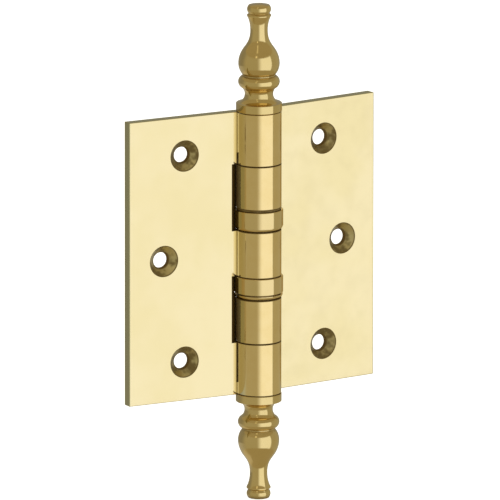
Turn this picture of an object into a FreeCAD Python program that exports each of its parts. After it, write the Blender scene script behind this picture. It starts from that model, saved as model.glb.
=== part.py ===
import FreeCAD, Part
import math
import os

# Solid brass door hinge with a ball-bearing collar either side of its middle knuckle.
# Millimetres. The pin axis is Z and the origin is on it, halfway up the hinge.
# The fixed leaf lies along -X with its screw face towards -Y. The moving leaf is drawn at
# open_angle from it, measured between the two screw faces.

V = FreeCAD.Vector
ORIGIN = V(0, 0, 0)
X_AXIS = V(1, 0, 0)
Z_AXIS = V(0, 0, 1)

# Leaves
leaf_height = 102.0
leaf_reach = 51.0             # pin axis to the free edge
leaf_thickness = 3.7
face_offset = 1.0             # the screw face lies this far behind the pin axis
edge_round = 0.3
open_angle = 188.0            # angle between the screw faces as drawn

# Barrel: five knuckles, with a bearing above and below the middle one
knuckle_radius = 8.0
middle_knuckle = 16.6
inner_knuckle = 15.6
seam_gap = 0.2                # between knuckles that meet without a bearing
end_inset = 0.4               # the barrel stops this far inside the leaf ends
knuckle_chamfer = 0.12
seat_groove_height = 0.3      # groove at the foot of each piece that is seated on a knuckle
seat_groove_depth = 0.6

# Slots that clear the other leaf's knuckles and the collars
slot_lip = 2.25               # knuckle surface to the slot's edge on the screw face
slot_clearance = 0.07         # knuckle surface to the hollow behind it
collar_clearance = 0.15       # collar to the moving leaf, which turns round it
collar_seat_clearance = 0.03  # collar to the fixed leaf, which holds it still
slot_end_clearance = 0.2      # the slots run past the knuckles and collars by this
seat_clearance = 0.1          # round the finial flange where the leaf stands above its seat

# Tool run-out grooves where the fixed leaf's face meets its end knuckles
runout_width = 0.45
runout_depth = 0.5
top_runout = 4.3
bottom_runout = 14.5

# Countersunk screw holes, three in each leaf
screw_hole_radius = 2.8
countersink_radius = 5.65
countersink_slope = 1.0       # depth over radius: a 90 degree countersink
end_screw_inset = 13.9        # leaf end to the end screws
end_screw_margin = 22.0       # free edge to the end screws
middle_screw_margin = 13.8    # free edge to the middle screw

# Pin
pin_radius = 4.0
pin_clearance = 0.05
pin_setback = 0.3             # the pin's shoulders stop this far inside the barrel
stud_step = 1.0               # shoulder between the pin and the stud that holds a finial
stud_length = 10.0
stud_clearance = 0.03
stud_chamfer = 0.6
stud_hole_spare = 1.0         # the finial's hole is deeper than the stud by this

# Bearings
bearing_height = 7.95
collar_stand = 0.6            # the collar stands this far proud of the knuckles
shell_wall = 1.2
shell_top_round = 0.3
shell_float = 0.75            # free height between the collar shell and its neighbours
shell_play = 0.1              # what is left of it above the lower bearing's shell
rim_height = 1.45             # the part of the bottom race that shows below the shell
rim_top_step = 0.1            # rim edge to collar surface at the rim's top
rim_foot_step = 0.8           # rim edge to collar surface at the rim's foot
race_clearance = 0.1
flange_gap = 0.2              # top race's flange to the top of the shell
flange_step = 0.1             # knuckle surface to the top race's flange
groove_depth = 0.4
groove_clearance = 0.03
ball_count = 12
cage_clearance = 0.25         # cage to each race
cage_wall = 0.25
cage_web = 0.35               # metal left between two ball pockets
pocket_clearance = 0.05

# Finials: radii, and heights above the flange's seat
flange_stand = 0.12           # the flange stands this far proud of the knuckle
flange_height = 3.2
flange_chamfer = 0.12
flange_top_step = 0.15
cove_radius = 5.03
cove_height = 6.5
ring_foot_radius = 6.1
ring_foot_height = 8.6
ring_radius = 7.33
ring_height = 10.35
notch_radius = 5.8
notch_height = 12.95
notch_width = 0.3
bulb_radius = 7.3
bulb_height = 17.8
shoulder_radius = 6.0
shoulder_height = 21.95
taper_radius = 4.0
taper_height = 24.95
neck_radius = 3.1
neck_height = 29.4
lip_radius = 4.28
lip_height = 34.35
lip_thickness = 0.3
groove_radius = 3.75
groove_height = 35.15
knob_foot_height = 35.5
knob_foot_radius = 3.9
knob_radius = 4.25
knob_height = 36.8
knob_top_radius = 3.7
knob_top_height = 38.15
finial_height = 38.65

# Levels up the barrel that follow from those
middle_top = middle_knuckle / 2
bearing_top = middle_top + bearing_height
inner_top = bearing_top + inner_knuckle
end_foot = inner_top + seam_gap
barrel_top = leaf_height / 2 - end_inset
past_leaf = leaf_height       # long enough to cut clean through either end

lower_shell_lift = shell_float - shell_play

# Radii that follow from those
collar_radius = knuckle_radius + collar_stand
shell_bore = collar_radius - shell_wall
race_radius = shell_bore - race_clearance
race_bore = pin_radius + race_clearance
stud_radius = pin_radius - stud_step
flange_radius = knuckle_radius + flange_stand
pitch_radius = (pin_radius + shell_bore) / 2
radial_room = (shell_bore - pin_radius) / 2 - race_clearance - cage_wall - pocket_clearance
pitch_room = pitch_radius * math.sin(math.pi / ball_count) - cage_web / 2 - pocket_clearance
ball_radius = min(radial_room, pitch_room)
pocket_radius = ball_radius + pocket_clearance
cage_height = 2 * (ball_radius - groove_depth - cage_clearance)


def rod(radius, low, high):
    """A cylinder on the pin axis between two levels."""
    return Part.makeCylinder(radius, high - low, V(0, 0, low))


def line(start, end):
    return Part.makeLine(V(start[0], 0, start[1]), V(end[0], 0, end[1]))


def arc(start, through, end):
    points = [V(radius, 0, height) for radius, height in (start, through, end)]
    return Part.Arc(*points).toShape()


def curve(stations):
    """One smooth curve through (radius, height) stations."""
    spline = Part.BSplineCurve()
    spline.interpolate([V(radius, 0, height) for radius, height in stations])
    return spline.toShape()


def outline(corners):
    """Straight edges from each (radius, height) corner to the next."""
    return [line(a, b) for a, b in zip(corners, corners[1:])]


def turn(edges):
    """The solid that a closed half section makes when it is turned about the pin axis."""
    face = Part.Face(Part.Wire(Part.__sortEdges__(edges)))
    return face.revolve(ORIGIN, Z_AXIS, 360)


def chamfered_rod(radius, low, high, chamfer):
    corners = [(0, low), (radius - chamfer, low), (radius, low + chamfer)]
    corners += [(radius, high - chamfer), (radius - chamfer, high), (0, high), (0, low)]
    return turn(outline(corners))


def blank_plate():
    """The flat of a leaf along +X, with its free edges rounded."""
    corner = V(pin_radius, face_offset, -leaf_height / 2)
    plate = Part.makeBox(leaf_reach - pin_radius, leaf_thickness, leaf_height, corner)
    free_edges = [edge for edge in plate.Edges if edge.BoundBox.XMax > pin_radius + edge_round]
    return plate.makeFillet(edge_round, free_edges)


def slot_bevel(low, high):
    """The slot's sloping side, from its edge on the screw face to the hollow at the back."""
    edge_x = knuckle_radius + slot_lip
    back = face_offset + leaf_thickness
    corners = [V(0, 0, low), V(edge_x, 0, low), V(edge_x, face_offset, low)]
    corners += [V(edge_x - back + face_offset, back, low), V(0, back, low), V(0, 0, low)]
    return Part.Face(Part.makePolygon(corners)).extrude(V(0, 0, high - low))


def slot_cutter(piece_low, piece_high, hollow_radius):
    """Clears a turning piece: a hollow about the pin, bevelled out to the slot's edge."""
    low = piece_low - slot_end_clearance
    high = piece_high + slot_end_clearance
    return slot_bevel(low, high).fuse(rod(hollow_radius, low, high))


def rim_room(foot):
    """The space that a bearing's rim turns in, which follows its rounded side."""
    edge = (collar_radius - rim_top_step + slot_clearance, foot + rim_height)
    side_foot = (collar_radius - rim_foot_step + slot_clearance, foot + seat_groove_height)
    corners = [side_foot, (side_foot[0], foot), (0, foot), (0, edge[1]), edge]
    return turn(outline(corners) + [rim_bulge(edge, side_foot)])


def bearing_cutter(foot, shell_lift):
    """The fixed leaf's slot for a bearing, whose hollow fits close round every piece."""
    top = foot + bearing_height
    shell_top = top - shell_float + shell_lift
    bevel = slot_bevel(foot - slot_end_clearance, top + slot_end_clearance)
    seat = rod(collar_radius + collar_seat_clearance, foot + rim_height, shell_top)
    above = rod(knuckle_radius + slot_clearance, shell_top, top)
    return bevel.fuse(seat).fuse(above).fuse(rim_room(foot))


def screw_cutter(x, z):
    """A countersunk screw hole square to the leaf, opening on its screw face."""
    sink = (countersink_radius - screw_hole_radius) * countersink_slope
    facing = V(0, 1, 0)
    hole = Part.makeCylinder(screw_hole_radius, leaf_thickness, V(x, face_offset, z), facing)
    cone = Part.makeCone(countersink_radius, screw_hole_radius, sink, V(x, face_offset, z), facing)
    return hole.fuse(cone)


def screw_places():
    end_z = leaf_height / 2 - end_screw_inset
    end_x = leaf_reach - end_screw_margin
    return [(end_x, end_z), (leaf_reach - middle_screw_margin, 0), (end_x, -end_z)]


def finial_seats():
    """Room for the two finial flanges where a leaf stands above the barrel's ends."""
    radius = flange_radius + seat_clearance
    return rod(radius, barrel_top, past_leaf).fuse(rod(radius, -past_leaf, -barrel_top))


def leaf(knuckle_levels, slots):
    """A leaf along +X with its knuckles, after the slots are cut in its plate."""
    body = blank_plate()
    for slot in slots:
        body = body.cut(slot)
    for low, high in knuckle_levels:
        body = body.fuse(chamfered_rod(knuckle_radius, low, high, knuckle_chamfer))
    body = body.cut(rod(pin_radius + pin_clearance, -past_leaf, past_leaf))
    body = body.cut(finial_seats())
    for x, z in screw_places():
        body = body.cut(screw_cutter(x, z))
    return body.removeSplitter()


def runout_grooves():
    """Two fine grooves where the screw face runs into the end knuckles, by the slots."""
    x = math.sqrt(knuckle_radius ** 2 - face_offset ** 2)
    top = Part.makeBox(runout_width, runout_depth, top_runout, V(x, face_offset, end_foot))
    foot = V(x, face_offset, -end_foot - bottom_runout)
    return top.fuse(Part.makeBox(runout_width, runout_depth, bottom_runout, foot))


def left_leaf():
    hollow = knuckle_radius + slot_clearance
    knuckles = [(end_foot, barrel_top), (-middle_top, middle_top), (-barrel_top, -end_foot)]
    slots = [slot_cutter(bearing_top, end_foot, hollow), bearing_cutter(middle_top, 0)]
    slots.append(bearing_cutter(-bearing_top, lower_shell_lift))
    slots.append(slot_cutter(-end_foot, -bearing_top, hollow))
    body = leaf(knuckles, slots).cut(runout_grooves())
    return body.mirror(ORIGIN, X_AXIS)


def right_leaf():
    hollow = knuckle_radius + slot_clearance
    collar_hollow = collar_radius + collar_clearance
    knuckles = [(bearing_top, inner_top), (-inner_top, -bearing_top)]
    slots = [slot_cutter(inner_top, past_leaf, hollow), slot_cutter(-middle_top, middle_top, hollow)]
    slots.append(slot_cutter(-past_leaf, -inner_top, hollow))
    for foot in (middle_top, -bearing_top):
        slots.append(slot_cutter(foot, foot + bearing_height, collar_hollow))
    body = leaf(knuckles, slots)
    body.rotate(ORIGIN, Z_AXIS, open_angle - 180)
    return body


def hinge_pin():
    """A plain rod with a thinner stud at each end, which the finials screw on to."""
    shoulder = barrel_top - pin_setback
    tip = barrel_top + stud_length
    corners = [(0, -tip), (stud_radius - stud_chamfer, -tip), (stud_radius, stud_chamfer - tip)]
    corners += [(stud_radius, -shoulder), (pin_radius, -shoulder), (pin_radius, shoulder)]
    corners += [(stud_radius, shoulder), (stud_radius, tip - stud_chamfer)]
    corners += [(stud_radius - stud_chamfer, tip), (0, tip), (0, -tip)]
    return turn(outline(corners))


def dome_middle():
    """Halfway round the shallow dome on the knob, whose centre is on the axis."""
    rise = finial_height - knob_top_height
    dome_radius = (knob_top_radius ** 2 + rise ** 2) / (2 * rise)
    half_turn = math.asin(knob_top_radius / dome_radius) / 2
    drop = dome_radius * (1 - math.cos(half_turn))
    return (dome_radius * math.sin(half_turn), finial_height - drop)


def finial_section():
    """The urn's half section, standing on its flange at height 0."""
    flange_top = (flange_radius - flange_top_step, flange_height)
    cove_end = (ring_foot_radius, ring_foot_height)
    notch_low = (notch_radius, notch_height)
    notch_high = (notch_radius, notch_height + notch_width)
    lip = (lip_radius, lip_height)
    knob_foot = (knob_foot_radius, knob_foot_height)
    knob_top = (knob_top_radius, knob_top_height)
    groove = flange_radius - seat_groove_depth
    flange = [(0, 0), (groove, 0), (groove, seat_groove_height)]
    flange += [(flange_radius - flange_chamfer, seat_groove_height)]
    flange += [(flange_radius, seat_groove_height + flange_chamfer)]
    flange += [(flange_radius, flange_height - flange_top_step), flange_top]
    edges = outline(flange)
    edges.append(arc(flange_top, (cove_radius, cove_height), cove_end))
    edges.append(arc(cove_end, (ring_radius, ring_height), notch_low))
    edges.append(line(notch_low, notch_high))
    bulb = [notch_high, (bulb_radius, bulb_height), (shoulder_radius, shoulder_height)]
    edges.append(curve(bulb + [(taper_radius, taper_height), (neck_radius, neck_height), lip]))
    edges += outline([lip, (lip_radius, lip_height + lip_thickness)])
    edges += outline([(lip_radius, lip_height + lip_thickness), (groove_radius, groove_height)])
    edges += outline([(groove_radius, groove_height), knob_foot])
    edges.append(arc(knob_foot, (knob_radius, knob_height), knob_top))
    edges.append(arc(knob_top, dome_middle(), (0, finial_height)))
    edges.append(line((0, finial_height), (0, 0)))
    return edges


def top_finial():
    """A turned urn whose blind hole takes the pin's stud."""
    urn = turn(finial_section())
    hole = rod(stud_radius + stud_clearance, 0, stud_length + stud_hole_spare)
    urn = urn.cut(hole)
    urn.translate(V(0, 0, barrel_top))
    return urn


def bottom_finial():
    urn = top_finial()
    urn.rotate(ORIGIN, X_AXIS, 180)
    return urn


def collar_shell(foot):
    """The bearing's outer ring, open at both ends, rounded at its top edge."""
    top = foot + bearing_height - rim_height - shell_float
    inset = shell_top_round * (1 - math.sqrt(0.5))
    round_foot = (collar_radius, top - shell_top_round)
    round_middle = (collar_radius - inset, top - inset)
    round_top = (collar_radius - shell_top_round, top)
    corners = [round_top, (shell_bore, top), (shell_bore, foot), (collar_radius, foot), round_foot]
    edges = outline(corners)
    edges.append(arc(round_foot, round_middle, round_top))
    return turn(edges)


def ball_groove(middle):
    return Part.makeTorus(pitch_radius, ball_radius + groove_clearance, V(0, 0, middle))


def rim_bulge(top, foot):
    """The rim's rounded side, which leaves its top edge straight down."""
    inset = top[0] - foot[0]
    height = top[1] - foot[1]
    radius = (height ** 2 + inset ** 2) / (2 * inset)
    halfway = math.asin(height / radius) / 2
    drop = radius * math.sin(halfway)
    return arc(top, (top[0] - radius * (1 - math.cos(halfway)), top[1] - drop), foot)


def bottom_race(foot):
    """A washer with a ball groove, on a rim that shows below the shell."""
    middle = foot + bearing_height / 2
    top = middle - ball_radius + groove_depth
    rim_edge = (collar_radius - rim_top_step, foot + rim_height)
    rim_foot = (collar_radius - rim_foot_step, foot + seat_groove_height)
    groove = rim_foot[0] - seat_groove_depth
    corners = [rim_foot, (groove, rim_foot[1]), (groove, foot), (race_bore, foot)]
    corners += [(race_bore, top), (race_radius, top), (race_radius, rim_edge[1]), rim_edge]
    edges = outline(corners)
    edges.append(rim_bulge(rim_edge, rim_foot))
    return turn(edges).cut(ball_groove(middle))


def top_race(foot, shell_lift):
    """A washer with a ball groove in its underside, and a flange if the shell leaves room."""
    middle = foot + bearing_height / 2
    low = middle + ball_radius - groove_depth
    top = foot + bearing_height
    washer = rod(race_radius, low, top)
    flange_foot = top - shell_float + shell_lift + flange_gap
    if flange_foot < top:
        washer = washer.fuse(rod(knuckle_radius - flange_step, flange_foot, top))
    washer = washer.cut(rod(race_bore, low, top))
    return washer.cut(ball_groove(middle))


def ball_places(middle):
    step = 2 * math.pi / ball_count
    turns = [step * index for index in range(ball_count)]
    return [V(pitch_radius * math.cos(a), pitch_radius * math.sin(a), middle) for a in turns]


def ball_cage(middle):
    """A flat ring with a round pocket for each ball."""
    low = middle - cage_height / 2
    high = middle + cage_height / 2
    ring = rod(race_radius, low, high).cut(rod(race_bore, low, high))
    for place in ball_places(middle):
        ring = ring.cut(Part.makeCylinder(pocket_radius, cage_height, V(place.x, place.y, low)))
    return ring


def bearing(name, foot, shell_lift):
    """Every piece of one bearing, by node name. The shell stands shell_lift above the rim."""
    middle = foot + bearing_height / 2
    pieces = {name + "_bearing_shell": collar_shell(foot + rim_height + shell_lift)}
    pieces[name + "_bearing_top_race"] = top_race(foot, shell_lift)
    pieces[name + "_bearing_bottom_race"] = bottom_race(foot)
    pieces[name + "_bearing_cage"] = ball_cage(middle)
    for number, place in enumerate(ball_places(middle), start=1):
        pieces["%s_bearing_ball_%02d" % (name, number)] = Part.makeSphere(ball_radius, place)
    return pieces


def hinge():
    pieces = {"left_leaf": left_leaf(), "right_leaf": right_leaf(), "hinge_pin": hinge_pin()}
    pieces["top_finial"] = top_finial()
    pieces["bottom_finial"] = bottom_finial()
    pieces.update(bearing("upper", middle_top, 0))
    pieces.update(bearing("lower", -bearing_top, lower_shell_lift))
    return pieces


os.makedirs("parts", exist_ok=True)
for node, shape in hinge().items():
    shape.exportStep("parts/" + node + ".step")
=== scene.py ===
import math

import bpy
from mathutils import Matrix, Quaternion, Vector


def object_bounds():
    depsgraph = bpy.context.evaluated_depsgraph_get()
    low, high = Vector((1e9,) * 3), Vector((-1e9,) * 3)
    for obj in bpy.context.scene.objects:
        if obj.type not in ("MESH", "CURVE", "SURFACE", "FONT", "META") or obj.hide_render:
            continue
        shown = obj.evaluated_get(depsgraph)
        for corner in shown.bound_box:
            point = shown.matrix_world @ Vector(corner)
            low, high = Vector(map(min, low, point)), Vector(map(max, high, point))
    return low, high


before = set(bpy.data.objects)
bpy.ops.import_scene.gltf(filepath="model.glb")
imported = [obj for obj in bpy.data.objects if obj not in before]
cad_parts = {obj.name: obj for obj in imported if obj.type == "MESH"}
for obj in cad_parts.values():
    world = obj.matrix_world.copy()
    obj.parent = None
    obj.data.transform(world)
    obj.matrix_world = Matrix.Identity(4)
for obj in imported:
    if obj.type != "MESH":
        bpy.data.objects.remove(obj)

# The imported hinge, in metres. The pin axis is Z and the origin is on it at half height.
CAD_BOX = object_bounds()
MM = 0.001
PER_METRE = 1000.0

# Camera: degrees round from the fixed leaf's normal, degrees up, and what it sees.
CAMERA_AZIMUTH = -28.0
CAMERA_ELEVATION = 12.3
LENS_MM = 1400.0
SENSOR_MM = 36.0
VIEW_WIDTH = 176.2 * MM        # the width that the picture covers at the pin
AIM_LEFT = 3.1 * MM            # the picture's middle is this far left of the pin
AIM_UP = 0.55 * MM
CLIP_NEAR = 0.1
CLIP_FAR = 4.0                 # times the camera's distance
ROLL = 0.054                   # degrees that the hinge leans to the right at its top

# The hinge's own measures that the finishes follow, in millimetres.
KNUCKLE_RADIUS = 8.0
FACE_OFFSET = 1.0              # screw face, behind the pin axis
LEAF_THICKNESS = 3.7
LEAF_REACH = 51.0
HALF_HEIGHT = 51.0
END_SCREW = (29.0, 37.1)       # along the leaf, and up or down
MIDDLE_SCREW = (37.2, 0.0)
SCREW_HOLE = 2.8
COUNTERSINK = 5.65
SEAM_LEVELS = (8.3, 16.25, 31.95)      # up and down from the middle of the barrel
LEFT_TURN = 180.0              # which way each leaf points, degrees round from +X
RIGHT_TURN = 8.0

# Where the finishes, painted reflections and painted shade change, in millimetres. A pair is
# where a change starts and ends.
BARREL_SKIN = (0.06, 0.02)     # past the knuckles' radius
END_SKIN = (0.2, 0.08)         # inside the leaf's ends
FREE_EDGE_SKIN = (0.45, 0.25)  # inside its free edge
FACE_SKIN = 0.06               # inside its two faces
FACE_SOFT = 0.08
SLOT_ALONG = (14.0, 12.0)      # cut surfaces nearer the pin than this are a slot's
SEAM_OIL = (0.42, 0.18)        # from the middle of a seam
LEAF_REFLECTION_ALONG = (6.8, 7.6)        # painted reflection of the leaf on the fixed knuckles' side towards their leaf
PAINTED_SHADE_AWAY = (7.5, 7.9)       # painted shade on the moving knuckles' side away from their leaf
HALF_OF_BARREL = (0.0, 3.0)    # from the pin axis to one side
PLATE_BACK = (5.6, 4.9)        # behind the pin axis
# painted shade in the crease where the moving knuckles meet their leaf
CREASE_SHADE_DEEP = (-2.8, 1.0)
# painted shade on the moving knuckles' far side, inside the fixed leaf's slot
SLOT_SIDE_DEEP = (-0.2, 0.7)
# painted shade on the -X side of the collars (from this far out) and of the finials, over this
# width
COLLAR_SHADED_FROM = 8.0
SHADED_WIDTH = 0.4
BORE_SHADE = (0.75, 0.25)      # painted shade ring, outside the screw hole's radius
LIP_SHADE = (0.5, 0.1)         # painted shade ring, inside the countersink's radius


def direction(azimuth, elevation):
    """A unit vector from the hinge: azimuth 0 is -Y and 90 is +X, both in degrees."""
    a = math.radians(azimuth)
    e = math.radians(elevation)
    return Vector((math.sin(a) * math.cos(e), -math.cos(a) * math.cos(e), math.sin(e)))


def add_camera():
    back = direction(CAMERA_AZIMUTH, CAMERA_ELEVATION)
    right = direction(CAMERA_AZIMUTH + 90, 0)
    up = back.cross(right)
    centre = Vector((0, 0, (CAD_BOX[0].z + CAD_BOX[1].z) / 2))
    aim = centre - right * AIM_LEFT + up * AIM_UP
    distance = VIEW_WIDTH * LENS_MM / SENSOR_MM
    data = bpy.data.cameras.new("camera")
    data.lens = LENS_MM
    data.sensor_width = SENSOR_MM
    data.clip_start = CLIP_NEAR
    data.clip_end = CLIP_FAR * distance
    camera = bpy.data.objects.new("camera", data)
    bpy.context.scene.collection.objects.link(camera)
    camera.location = aim + back * distance
    camera.rotation_mode = "QUATERNION"
    lean = Quaternion((0, 0, 1), math.radians(ROLL))
    camera.rotation_quaternion = (-back).to_track_quat("-Z", "Y") @ lean
    bpy.context.scene.camera = camera


class Graph:
    """Short calls for making shader nodes."""

    def __init__(self, tree):
        self.tree = tree
        tree.nodes.clear()

    def node(self, kind, **inputs):
        made = self.tree.nodes.new(kind)
        for name, value in inputs.items():
            self.feed(made.inputs[name.replace("_", " ")], value)
        return made

    def feed(self, socket, value):
        if isinstance(value, bpy.types.NodeSocket):
            self.tree.links.new(value, socket)
        else:
            socket.default_value = value

    def math(self, operation, *values):
        made = self.tree.nodes.new("ShaderNodeMath")
        made.operation = operation
        for socket, value in zip(made.inputs, values):
            self.feed(socket, value)
        return made.outputs[0]

    def times(self, first, *others):
        for other in others:
            first = self.math("MULTIPLY", first, other)
        return first

    def plus(self, first, *others):
        for other in others:
            first = self.math("ADD", first, other)
        return first

    def inverse(self, value):
        return self.math("SUBTRACT", 1.0, value)

    def dot(self, vector, fixed):
        made = self.tree.nodes.new("ShaderNodeVectorMath")
        made.operation = "DOT_PRODUCT"
        self.feed(made.inputs[0], vector)
        made.inputs[1].default_value = fixed
        return made.outputs["Value"]

    def scaled(self, vector, factors):
        made = self.tree.nodes.new("ShaderNodeVectorMath")
        made.operation = "MULTIPLY"
        self.feed(made.inputs[0], vector)
        made.inputs[1].default_value = factors
        return made.outputs[0]

    def ramp(self, value, low, high, out_low=0.0, out_high=1.0):
        """Smoothly from out_low to out_high as value goes from low to high."""
        made = self.tree.nodes.new("ShaderNodeMapRange")
        made.interpolation_type = "SMOOTHSTEP"
        ends = {"From Min": low, "From Max": high, "To Min": out_low, "To Max": out_high}
        for name, number in ends.items():
            self.feed(made.inputs[name], number)
        self.feed(made.inputs["Value"], value)
        return made.outputs["Result"]

    def between(self, value, low, high, soft):
        rise = self.ramp(value, low - soft / 2, low + soft / 2)
        return self.times(rise, self.ramp(value, high + soft / 2, high - soft / 2))

    def noise(self, vector, scale, detail=2.0, roughness=0.5):
        made = self.node("ShaderNodeTexNoise", Vector=vector, Scale=scale, Detail=detail)
        made.inputs["Roughness"].default_value = roughness
        return made.outputs["Fac"]

    def mix(self, factor, first, second, blend="MIX"):
        made = self.tree.nodes.new("ShaderNodeMix")
        made.data_type = "RGBA"
        made.blend_type = blend
        self.feed(made.inputs["Factor"], factor)
        self.feed(made.inputs["A"], first)
        self.feed(made.inputs["B"], second)
        return made.outputs["Result"]


# The studio light. Angles are degrees: round from the fixed leaf's normal, and up.
BOX_LIGHT = (1.15, 1.25, 1.4, 1.0)     # a wide soft box in front of the hinge
BOX_LEFT = (-40.0, -8.0)               # it fades in over a broad left side
BOX_RIGHT = (46.0, 49.0)               # and ends at a crisp right side
BOX_LOW = -34.0
BOX_HIGH = 27.0
BOX_SOFT = 5.0
ROOM_LIGHT = (0.48, 0.47, 0.36, 1.0)   # the dim warm room beside the soft box
BACK_LIGHT = (0.32, 0.32, 0.28, 1.0)   # and behind the hinge
BACK_FROM = (100.0, 140.0)
CEILING_LIGHT = (0.43, 0.39, 0.26, 1.0)    # above and below it all
# Smaller soft boxes: azimuth from and to, elevation from and to, softness across and up
# (all degrees), and the colour that each adds.
SOFT_BOXES = [
    (125.0, 235.0, -62.0, -15.0, 40.0, 4.0, (0.17, 0.18, 0.20)),
    (-50.0, -40.0, 29.0, 37.0, 6.0, 5.0, (0.7, 0.7, 0.62)),
    (-49.0, -37.0, 50.0, 61.0, 8.0, 6.0, (0.42, 0.42, 0.36)),
]
WHITE = (1.0, 1.0, 1.0, 1.0)


def azimuth_from(graph, ray, middle):
    """Degrees round from one azimuth to a ray."""
    ahead = graph.dot(ray, direction(middle, 0))
    across = graph.dot(ray, direction(middle + 90, 0))
    return graph.times(graph.math("ARCTAN2", across, ahead), 180 / math.pi)


def light_the_studio():
    world = bpy.data.worlds.new("studio")
    world.use_nodes = True
    bpy.context.scene.world = world
    graph = Graph(world.node_tree)
    ray = graph.node("ShaderNodeTexCoord").outputs["Generated"]
    rise = graph.dot(ray, (0, 0, 1))
    height = graph.times(graph.math("ARCSINE", rise), 180 / math.pi)
    turn = azimuth_from(graph, ray, 0.0)
    behind = graph.ramp(graph.math("ABSOLUTE", turn), *BACK_FROM)
    room = graph.mix(behind, ROOM_LIGHT, BACK_LIGHT)
    box = graph.times(graph.ramp(turn, *BOX_LEFT), graph.ramp(turn, *reversed(BOX_RIGHT)))
    walls = graph.mix(box, room, BOX_LIGHT)
    light = graph.mix(graph.between(height, BOX_LOW, BOX_HIGH, BOX_SOFT), CEILING_LIGHT, walls)
    for start, end, low, high, side_soft, height_soft, colour in SOFT_BOXES:
        turn = azimuth_from(graph, ray, (start + end) / 2)
        half = (end - start) / 2
        across = graph.between(turn, -half, half, side_soft)
        up = graph.between(height, low, high, height_soft)
        light = graph.mix(graph.times(across, up), light, (*colour, 1.0), "ADD")
    seen = graph.node("ShaderNodeLightPath").outputs["Is Camera Ray"]
    background = graph.node("ShaderNodeBackground", Color=graph.mix(seen, light, WHITE))
    out = graph.node("ShaderNodeOutputWorld")
    graph.tree.links.new(background.outputs[0], out.inputs["Surface"])
    bpy.context.scene.view_settings.view_transform = "Standard"


FLOOR_HALF = 40.0              # metres
FLOOR_COLOUR = (0.8, 0.8, 0.8, 1.0)


def add_floor():
    """A white sheet under the hinge, which stays out of the metal's reflections."""
    level = CAD_BOX[0].z
    turns = [(-1, -1), (1, -1), (1, 1), (-1, 1)]
    corners = [(x * FLOOR_HALF, y * FLOOR_HALF, level) for x, y in turns]
    mesh = bpy.data.meshes.new("floor")
    mesh.from_pydata(corners, [], [(0, 1, 2, 3)])
    floor = bpy.data.objects.new("floor", mesh)
    bpy.context.scene.collection.objects.link(floor)
    material = bpy.data.materials.new("floor_white")
    material.use_nodes = True
    graph = Graph(material.node_tree)
    paper = graph.node("ShaderNodeBsdfDiffuse", Color=FLOOR_COLOUR)
    glow = graph.node("ShaderNodeEmission", Color=WHITE, Strength=1.0)
    both = graph.node("ShaderNodeAddShader")
    graph.tree.links.new(paper.outputs[0], both.inputs[0])
    graph.tree.links.new(glow.outputs[0], both.inputs[1])
    out = graph.node("ShaderNodeOutputMaterial")
    graph.tree.links.new(both.outputs[0], out.inputs["Surface"])
    mesh.materials.append(material)
    floor.visible_glossy = False
    floor.visible_diffuse = False


# Metals, as linear colours. Lengths inside the materials are millimetres.
FLAT_BRASS = (0.80, 0.635, 0.318)
PALE_BRASS = (0.825, 0.66, 0.355)
TURNED_BRASS = (0.82, 0.60, 0.265)
WARM_BRASS = (0.80, 0.575, 0.24)
FINIAL_BRASS = (0.72, 0.53, 0.225)
WARM_FINIAL = (0.70, 0.51, 0.205)
COLLAR_BRASS = (0.76, 0.56, 0.25)
WARM_COLLAR = (0.73, 0.54, 0.23)
MACHINED_BRASS = (0.66, 0.54, 0.27)
DARK_CUT = (0.36, 0.28, 0.12)
EDGE_BRASS = (0.60, 0.55, 0.30)
PIN_STEEL = (0.55, 0.56, 0.58)
BALL_STEEL = (0.75, 0.76, 0.78)
# These three are painted reflection and shade for what the barrel reflects beside a leaf: a
# painted reflection of the leaf, painted shade (also on the -X side of the collars and finials)
# and painted shade in the crease.
PAINTED_LEAF_REFLECTION = (0.86, 0.75, 0.46)
PAINTED_SHADE_BRASS = (0.62, 0.56, 0.33)
PAINTED_CREASE_SHADE = (0.36, 0.25, 0.09)

# Noise: scale for each millimetre, detail and roughness.
LEAF_CLOUD = (0.035, 3.0, 0.6)
LEAF_SMEAR = (0.16, 4.0, 0.6)
TURNED_CLOUD = (0.09, 3.0)
TURNED_SMEAR = (0.3, 4.0, 0.6)
STEEL_CLOUD = (0.2, 3.0)
OIL_FILM = (0.6, 3.0, 0.6)
CUT_PATCH = (0.22, 2.0, 0.6)
CUT_FLECK = (0.9, 3.0, 0.6)
TOOL_GRAIN = (4.0,)
COARSE_LINES = (3.0, 3.0)
FINE_LINES = (14.0, 2.0)
COARSE_SHARE = 0.6             # the fine lines are the rest
POLISHING_LINES = (5.0, 4.0, 0.6)
TURNED_STRETCH = (0.03, 0.03, 1.0)         # how the lines are drawn out round the pin
POLISHING_STRETCH = (0.05, 0.05, 1.0)

# Noise levels between which one finish gives way to another.
CLOUDY = (0.35, 0.65)
PATCHY = (0.38, 0.62)
FLECKED = (0.58, 0.7)
FILMY = (0.3, 0.7)
SMEARED = (0.35, 0.7)
SMUDGED = (0.58, 0.38)

# Grime and painted shade, as a colour and its own finish, then how much of it each place has.
GRIME_AND_SHADE_BROWN = (0.15, 0.085, 0.016)
GRIME_AND_SHADE_SHINE = 0.15
GRIME_AND_SHADE_ROUGHNESS = 0.5
# painted shade on the slot walls
SLOT_SHADE = 0.8
EDGE_GRIME = 0.2
# painted shade on the moving knuckles inside the slot
LIMB_SHADE = 0.75
CREVICE_GRIME_AND_SHADE = 0.95
LEAF_CREVICE_GRIME_AND_SHADE = 0.9
CREVICE_SAMPLES = 6
SHUT_IN = 0.15                 # share of open sky at which a surface is fully grimy and in painted shade
TURNED_OPEN = 0.9              # and these are the shares at which it is clean and unshaded
LEAF_OPEN = 0.8
SMUDGE_GRIME = 0.6
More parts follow.
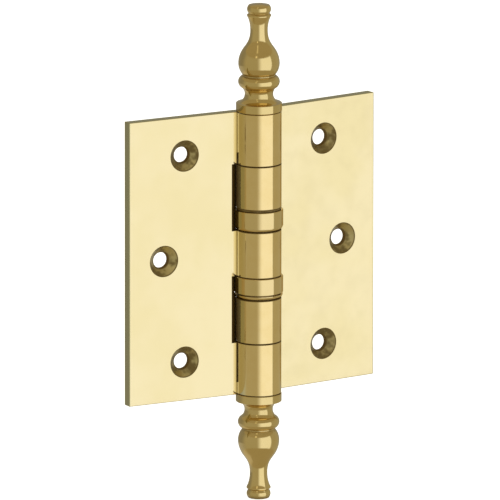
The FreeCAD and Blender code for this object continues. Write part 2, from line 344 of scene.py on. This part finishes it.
# oil and painted shade on the races and cages
OILED_GRIME_AND_SHADE = (0.8, 1.0)
FINIAL_REACH = 3.5             # how far off a surface can be and still shut in grime and painted shade
COLLAR_REACH = 0.8
LEAF_CREVICE_REACH = 0.7

# Roughness, and how deep the tool lines are.
LEAF_ROUGHNESS = (0.075, 0.13)
CUT_ROUGHNESS = 0.2            # these two add to the leaf's
EDGE_ROUGHNESS = 0.15
TURNED_ROUGHNESS = 0.09
OILED_ROUGHNESS = 0.3
PIN_ROUGHNESS = 0.25
BALL_ROUGHNESS = 0.08
TURNED_SPREAD = (0.75, 1.4)    # the smoothest and roughest places, as shares of it
STEEL_SPREAD = (0.8, 1.2)
STEEL_DARKER = 0.85            # the darker places' share of the steel's colour
TURNED_RELIEF = 0.0006
OILED_RELIEF = 0.0015
STEEL_RELIEF = 0.0008
TOOL_RING_PITCH = 16.0         # radians of ring to each millimetre
TOOL_RELIEF = 1.6              # times the relief of the lines
BRIGHT_FLECKS = 0.6


def opaque(colour):
    return (*colour, 1.0)


def millimetres(graph):
    place = graph.node("ShaderNodeTexCoord").outputs["Object"]
    return graph.scaled(place, (PER_METRE, PER_METRE, PER_METRE))


def turned_lines(graph, place):
    """Fine tool lines round the pin axis, uneven as a lathe leaves them."""
    along = graph.scaled(place, TURNED_STRETCH)
    coarse = graph.times(graph.noise(along, *COARSE_LINES), COARSE_SHARE)
    fine = graph.times(graph.noise(along, *FINE_LINES), 1 - COARSE_SHARE)
    return graph.plus(coarse, fine)


def polishing_lines(graph, place):
    """Faint straight lines along the leaf from polishing."""
    along = graph.scaled(place, POLISHING_STRETCH)
    return graph.noise(along, *POLISHING_LINES)


def crevice(graph, reach, open_enough):
    """How far a surface is shut in by others: 0 in the open, 1 deep in a seam."""
    made = graph.node("ShaderNodeAmbientOcclusion", Distance=reach * MM)
    made.samples = CREVICE_SAMPLES
    return graph.ramp(made.outputs["AO"], SHUT_IN, open_enough, 1.0, 0.0)


def metal_output(graph, colour, rough, relief, depth, grime_and_shade=None):
    """A metal whose relief is depth millimetres deep, under a brown layer of grime and painted
    shade where that mask is 1.
    """
    metallic = 1.0
    if grime_and_shade is not None:
        colour = graph.mix(grime_and_shade, colour, opaque(GRIME_AND_SHADE_BROWN))
        rough = graph.ramp(grime_and_shade, 0.0, 1.0, rough, GRIME_AND_SHADE_ROUGHNESS)
        metallic = graph.inverse(grime_and_shade)
    bump = graph.node("ShaderNodeBump", Height=relief, Strength=1.0)
    bump.inputs["Distance"].default_value = depth * MM
    shader = graph.node("ShaderNodeBsdfPrincipled", Base_Color=colour, Roughness=rough)
    shader.inputs["Specular IOR Level"].default_value = GRIME_AND_SHADE_SHINE
    graph.feed(shader.inputs["Metallic"], metallic)
    graph.tree.links.new(bump.outputs["Normal"], shader.inputs["Normal"])
    out = graph.node("ShaderNodeOutputMaterial")
    graph.tree.links.new(shader.outputs[0], out.inputs["Surface"])


def new_material(name):
    material = bpy.data.materials.new(name)
    material.use_nodes = True
    return material, Graph(material.node_tree)


def turned_brass(name, clean, warm, reach, roughness, shaded_from):
    """Finials and collars: fine tool lines, painted shade on the side towards -X, with grime and
    painted shade in what reach shuts in.
    """
    material, graph = new_material(name)
    place = millimetres(graph)
    cloud = graph.noise(place, *TURNED_CLOUD)
    smear = graph.noise(place, *TURNED_SMEAR)
    metal = graph.mix(graph.ramp(cloud, *CLOUDY), opaque(clean), opaque(warm))
    # painted shade on the side towards -X
    leafward = graph.dot(place, (-1.0, 0.0, 0.0))
    shaded = graph.ramp(leafward, shaded_from, shaded_from + SHADED_WIDTH)
    metal = graph.mix(shaded, metal, opaque(PAINTED_SHADE_BRASS))
    # grime and painted shade in what reach shuts in
    grime_and_shade = graph.times(crevice(graph, reach, TURNED_OPEN), CREVICE_GRIME_AND_SHADE)
    rough = graph.ramp(smear, *SMEARED, *(roughness * share for share in TURNED_SPREAD))
    metal_output(graph, metal, rough, turned_lines(graph, place), TURNED_RELIEF, grime_and_shade)
    return material


def oiled_and_shaded_brass(name):
    """Races and cages, which are dark with oil and painted shade inside the collars."""
    material, graph = new_material(name)
    place = millimetres(graph)
    film = graph.noise(place, *OIL_FILM)
    colour = graph.mix(graph.ramp(film, *FILMY), opaque(MACHINED_BRASS), opaque(TURNED_BRASS))
    # oil and painted shade over nearly all of it
    grime_and_shade = graph.ramp(film, *FILMY, *OILED_GRIME_AND_SHADE)
    lines = turned_lines(graph, place)
    metal_output(graph, colour, OILED_ROUGHNESS, lines, OILED_RELIEF, grime_and_shade)
    return material


def distance_to(graph, along, up, centre):
    a = graph.math("SUBTRACT", along, centre[0])
    b = graph.math("SUBTRACT", up, centre[1])
    return graph.math("SQRT", graph.plus(graph.times(a, a), graph.times(b, b)))


def seam_oil(graph, level):
    """Dark oil that spreads a little either side of each seam in the barrel."""
    widest = None
    for seam in SEAM_LEVELS:
        gap = graph.math("ABSOLUTE", graph.math("SUBTRACT", level, seam))
        mark = graph.ramp(gap, *SEAM_OIL)
        widest = mark if widest is None else graph.math("MAXIMUM", widest, mark)
    return widest


def barrel_finish_and_painted_light(graph, place, along, deep, level, fixed):
    """The knuckles' colour, seam oil and painted shade: turned brass, with a painted reflection
    of the leaf on the fixed knuckles' side that faces it, and on the moving knuckles painted
    shade away from their leaf, in the crease by it and on the side in the slot.
    """
    smear = graph.noise(place, *LEAF_SMEAR)
    colour = graph.mix(graph.ramp(smear, *CLOUDY), opaque(TURNED_BRASS), opaque(WARM_BRASS))
    grime_and_shade = seam_oil(graph, level)
    if fixed:
        # painted reflection of the leaf on the side of the knuckle that faces it
        leaf_reflection = graph.ramp(along, *LEAF_REFLECTION_ALONG)
        return graph.mix(leaf_reflection, colour, opaque(PAINTED_LEAF_REFLECTION)), grime_and_shade
    away = graph.times(along, -1.0)
    # painted shade on the side away from the leaf
    colour = graph.mix(graph.ramp(away, *PAINTED_SHADE_AWAY), colour, opaque(PAINTED_SHADE_BRASS))
    in_plate = graph.ramp(deep, *PLATE_BACK)
    leaf_side = graph.ramp(along, *HALF_OF_BARREL)
    # painted shade in the crease between the knuckle and its leaf
    crease_shade = graph.times(graph.ramp(deep, *CREASE_SHADE_DEEP), leaf_side, in_plate)
    colour = graph.mix(crease_shade, colour, opaque(PAINTED_CREASE_SHADE))
    far_side = graph.ramp(away, *HALF_OF_BARREL)
    # painted shade on the part of the knuckle that lies in the other leaf's slot
    in_slot = graph.times(graph.ramp(deep, *SLOT_SIDE_DEEP), far_side, in_plate)
    return colour, graph.math("MAXIMUM", grime_and_shade, graph.times(in_slot, LIMB_SHADE))


def machined_finish_and_shade(graph, place, from_hole):
    """Cut surfaces: patchy bright and dark, with painted shade round the bore and at the lip and
    smudges of grime.
    """
    patch = graph.noise(place, *CUT_PATCH)
    fleck = graph.noise(place, *CUT_FLECK)
    colour = graph.mix(graph.ramp(patch, *PATCHY), opaque(DARK_CUT), opaque(MACHINED_BRASS))
    bright = graph.times(graph.ramp(fleck, *FLECKED), BRIGHT_FLECKS)
    colour = graph.mix(bright, colour, opaque(FLAT_BRASS))
    # painted shade in rings at the bore and at the countersink's lip
    bore = graph.ramp(from_hole, SCREW_HOLE + BORE_SHADE[0], SCREW_HOLE + BORE_SHADE[1])
    lip = graph.ramp(from_hole, COUNTERSINK - LIP_SHADE[0], COUNTERSINK - LIP_SHADE[1])
    smudge = graph.times(graph.ramp(patch, *SMUDGED), SMUDGE_GRIME)
    return colour, graph.math("MAXIMUM", graph.math("MAXIMUM", bore, lip), smudge)


def leaf_brass(name, turn):
    """A leaf and its knuckles: polished flats, turned barrel, machined holes and slots."""
    material, graph = new_material(name)
    place = millimetres(graph)
    a = math.radians(turn)
    fixed = turn == LEFT_TURN
    side = -1.0 if fixed else 1.0
    along = graph.dot(place, (math.cos(a), math.sin(a), 0.0))
    deep = graph.dot(place, (-math.sin(a) * side, math.cos(a) * side, 0.0))
    up = graph.dot(place, (0.0, 0.0, 1.0))
    level = graph.math("ABSOLUTE", up)
    radius = distance_to(graph, along, deep, (0.0, 0.0))
    on_barrel = graph.ramp(radius, *(KNUCKLE_RADIUS + skin for skin in BARREL_SKIN))
    past_end = graph.ramp(level, *(HALF_HEIGHT - skin for skin in END_SKIN))
    past_edge = graph.ramp(along, *(LEAF_REACH - skin for skin in FREE_EDGE_SKIN))
    off_barrel = graph.inverse(on_barrel)
    edge = graph.times(graph.math("MAXIMUM", past_end, past_edge), off_barrel)
    back = FACE_OFFSET + LEAF_THICKNESS
    within = graph.between(deep, FACE_OFFSET + FACE_SKIN, back - FACE_SKIN, FACE_SOFT)
    cut = graph.times(within, off_barrel, graph.inverse(edge))
    ends = distance_to(graph, along, level, END_SCREW)
    middle = distance_to(graph, along, level, MIDDLE_SCREW)
    from_hole = graph.math("MINIMUM", ends, middle)
    in_slot = graph.times(graph.ramp(along, *SLOT_ALONG), cut)

    cloud = graph.noise(place, *LEAF_CLOUD)
    smear = graph.noise(place, *LEAF_SMEAR)
    flat = graph.mix(graph.ramp(cloud, *CLOUDY), opaque(FLAT_BRASS), opaque(PALE_BRASS))
    barrel, barrel_grime_and_shade = barrel_finish_and_painted_light(graph, place, along, deep, level, fixed)
    machined, cut_grime_and_shade = machined_finish_and_shade(graph, place, from_hole)
    colour = graph.mix(on_barrel, flat, barrel)
    colour = graph.mix(cut, colour, machined)
    colour = graph.mix(edge, colour, opaque(EDGE_BRASS))
    grime_and_shade = graph.times(barrel_grime_and_shade, on_barrel)
    grime_and_shade = graph.math("MAXIMUM", grime_and_shade, graph.times(cut_grime_and_shade, cut))
    # painted shade on the slot walls
    grime_and_shade = graph.math("MAXIMUM", grime_and_shade, graph.times(in_slot, SLOT_SHADE))
    grime_and_shade = graph.math("MAXIMUM", grime_and_shade, graph.times(edge, EDGE_GRIME))
    # grime and painted shade in crevices
    closed = crevice(graph, LEAF_CREVICE_REACH, LEAF_OPEN)
    shut_in = graph.times(closed, graph.math("MAXIMUM", on_barrel, cut))
    grime_and_shade = graph.math("MAXIMUM", grime_and_shade, graph.times(shut_in, LEAF_CREVICE_GRIME_AND_SHADE))

    rough = graph.ramp(smear, *SMEARED, *LEAF_ROUGHNESS)
    rough = graph.plus(rough, graph.times(cut, CUT_ROUGHNESS), graph.times(edge, EDGE_ROUGHNESS))
    lines = graph.mix(on_barrel, polishing_lines(graph, place), turned_lines(graph, place))
    rings = graph.math("SINE", graph.times(from_hole, TOOL_RING_PITCH))
    grain = graph.noise(place, *TOOL_GRAIN)
    tool = graph.times(graph.plus(rings, grain), cut, TOOL_RELIEF)
    relief = graph.plus(graph.times(lines, graph.inverse(cut)), tool)
    metal_output(graph, colour, rough, relief, TURNED_RELIEF, grime_and_shade)
    return material


def steel(name, colour, roughness):
    material, graph = new_material(name)
    place = millimetres(graph)
    cloud = graph.noise(place, *STEEL_CLOUD)
    darker = tuple(STEEL_DARKER * part for part in colour)
    tint = graph.mix(graph.ramp(cloud, *FILMY), opaque(darker), opaque(colour))
    rough = graph.ramp(cloud, *FILMY, *(roughness * share for share in STEEL_SPREAD))
    metal_output(graph, tint, rough, turned_lines(graph, place), STEEL_RELIEF)
    return material


def dress():
    materials = {
        "left_leaf": leaf_brass("left_leaf_brass", LEFT_TURN),
        "right_leaf": leaf_brass("right_leaf_brass", RIGHT_TURN),
        "hinge_pin": steel("pin_steel", PIN_STEEL, PIN_ROUGHNESS),
    }
    ball = steel("bearing_steel", BALL_STEEL, BALL_ROUGHNESS)
    finial_metals = ("finial_brass", FINIAL_BRASS, WARM_FINIAL)
    finial = turned_brass(*finial_metals, FINIAL_REACH, TURNED_ROUGHNESS, KNUCKLE_RADIUS)
    collar_metals = ("collar_brass", COLLAR_BRASS, WARM_COLLAR)
    collar = turned_brass(*collar_metals, COLLAR_REACH, TURNED_ROUGHNESS, COLLAR_SHADED_FROM)
    oiled_and_shaded = oiled_and_shaded_brass("oiled_and_shaded_brass")
    kinds = {"ball_": ball, "finial": finial, "shell": collar, "bottom_race": collar}
    for name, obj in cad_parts.items():
        material = materials.get(name, oiled_and_shaded)
        for part, metal in kinds.items():
            if part in name:
                material = metal
        obj.data.materials.clear()
        obj.data.materials.append(material)


add_camera()
light_the_studio()
add_floor()
dress()
